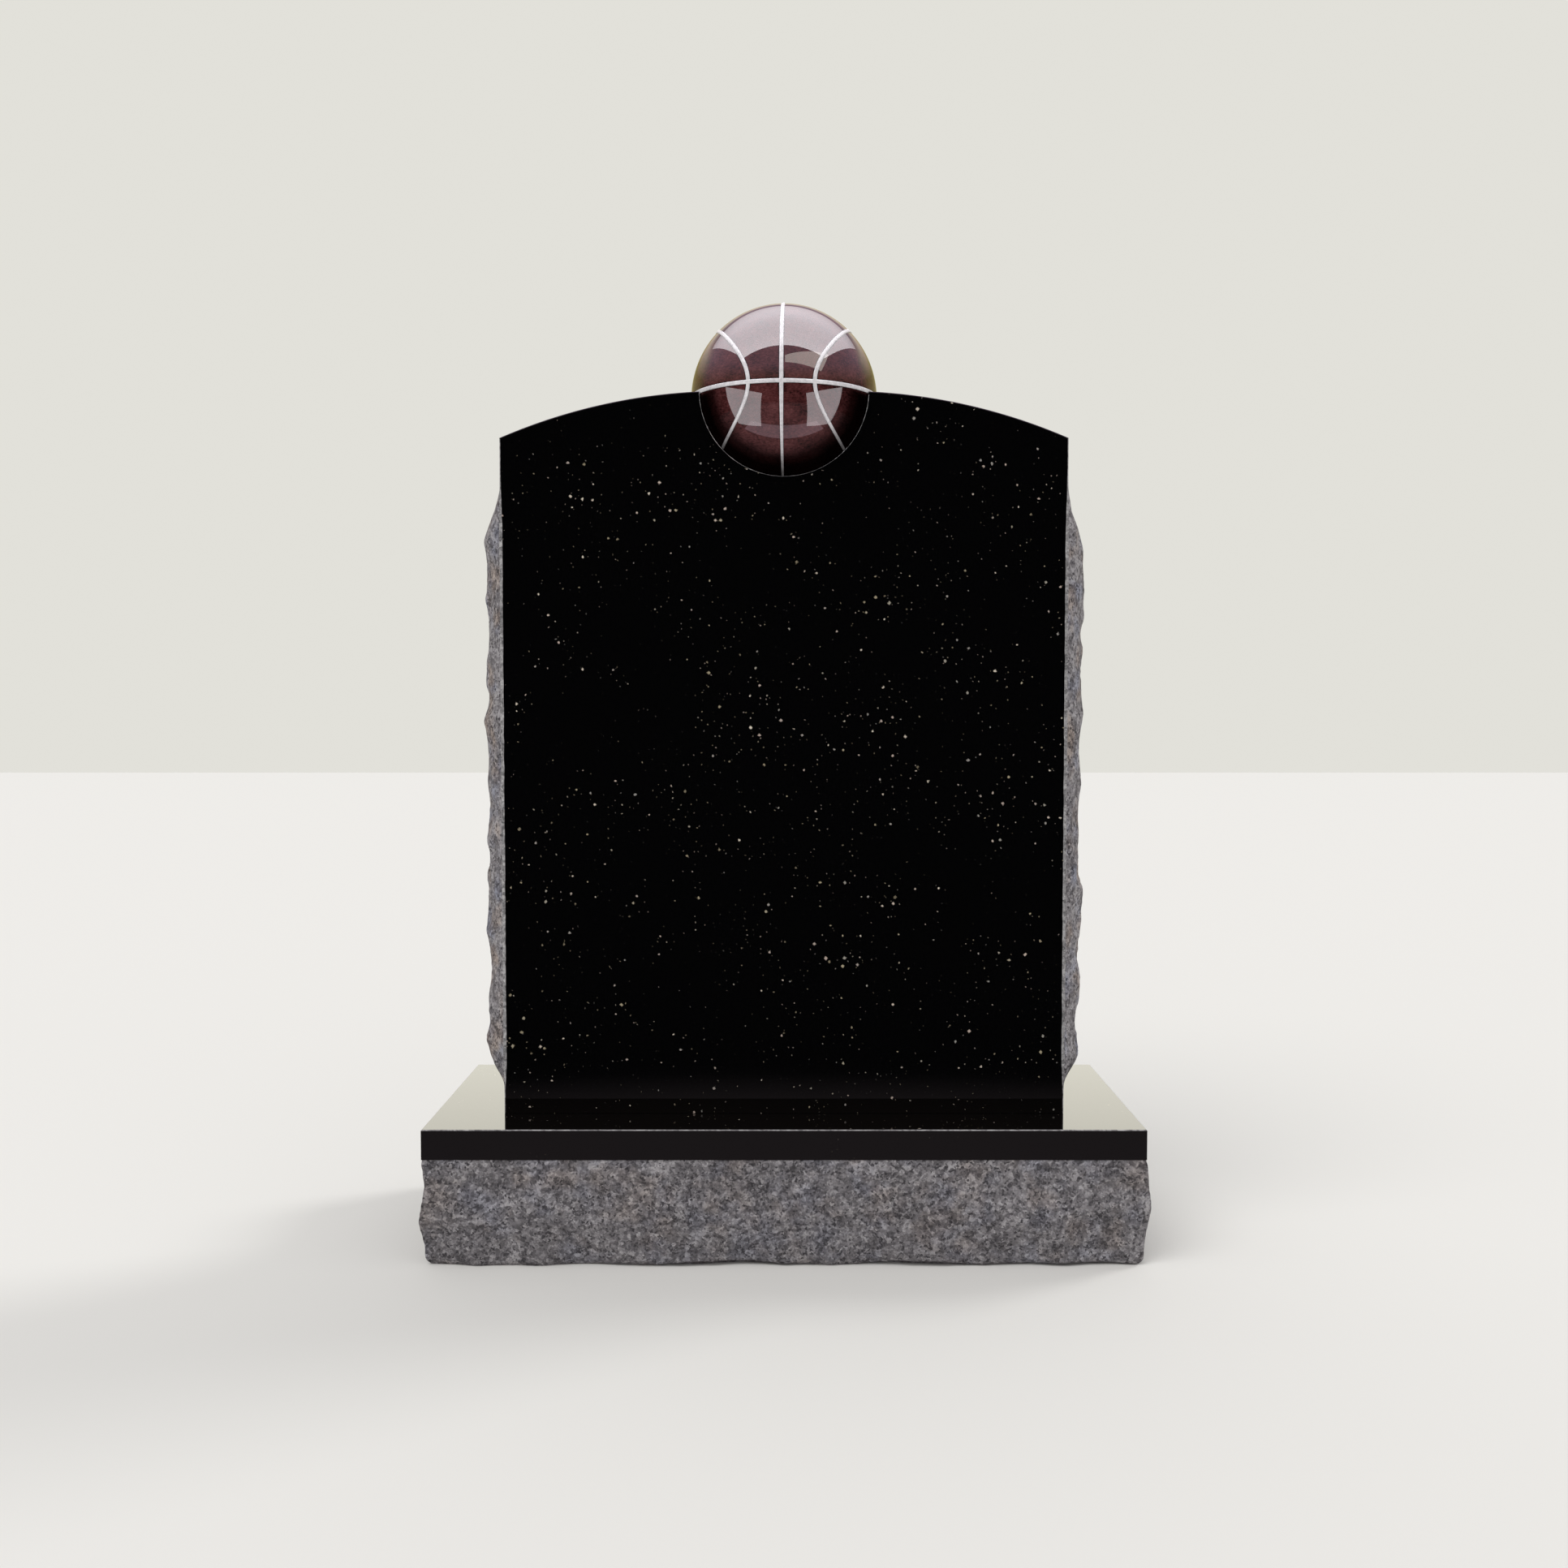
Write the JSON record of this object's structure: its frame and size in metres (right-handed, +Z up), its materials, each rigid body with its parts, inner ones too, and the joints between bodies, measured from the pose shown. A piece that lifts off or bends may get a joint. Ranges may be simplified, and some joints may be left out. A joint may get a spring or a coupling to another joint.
{
  "type": "headstone",
  "caption": "Upright granite headstone: an arched polished tablet with rock-pitched edges on a wider base, with a seamed ball nested in a socket in its crown.",
  "frame": {"origin": "middle of the base's underside, on the ground", "axes": "+Z up, +X to the right as seen from the front, and the polished front face looks towards -Y"},
  "size_m": [0.7734, 0.3172, 1.0303],
  "materials": {
    "pitched_granite": "rock-pitched grey sides below a polished black top and band",
    "polished_granite": "mirror-polished black with small bright flecks, rock-pitched grey along both sides",
    "russet_stone": "polished dark red-brown with fine grain and raised white seams"
  },
  "bodies": {
    "root": {"base": "pitched_granite", "tablet": "polished_granite", "ball": "russet_stone"}
  },
  "joints": []
}
